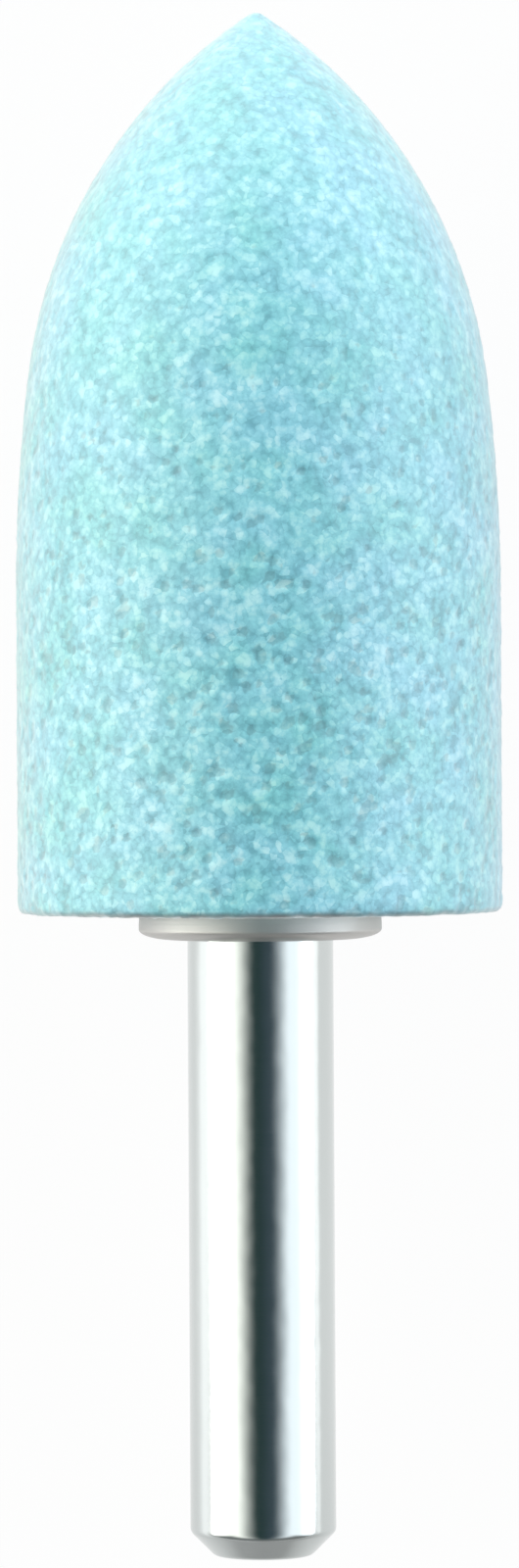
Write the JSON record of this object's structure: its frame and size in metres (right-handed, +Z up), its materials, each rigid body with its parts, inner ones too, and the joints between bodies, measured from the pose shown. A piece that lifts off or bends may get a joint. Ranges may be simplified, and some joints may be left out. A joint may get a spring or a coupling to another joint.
{
  "type": "mounted point",
  "caption": "Mounted grinding point: pale blue pointed-arch abrasive head cemented on a plain steel spindle with a domed collar and a chamfered shank end.",
  "frame": {"origin": "centre of the object's bounding box at its lowest face: the point lies on its side on the straight part of the head", "axes": "+Y along the tool's axis, from the shank's free end to the tip; +Z up; +X to the right of the picture, which looks down"},
  "size_m": [0.02, 0.0634, 0.02],
  "materials": {
    "abrasive_head": "matte",
    "bond_cement": "matte",
    "collar": "satin",
    "spindle": "polished"
  },
  "bodies": {
    "root": {"abrasive_head": "abrasive_head", "bond_cement": "bond_cement", "collar": "collar", "spindle": "spindle"}
  },
  "joints": []
}
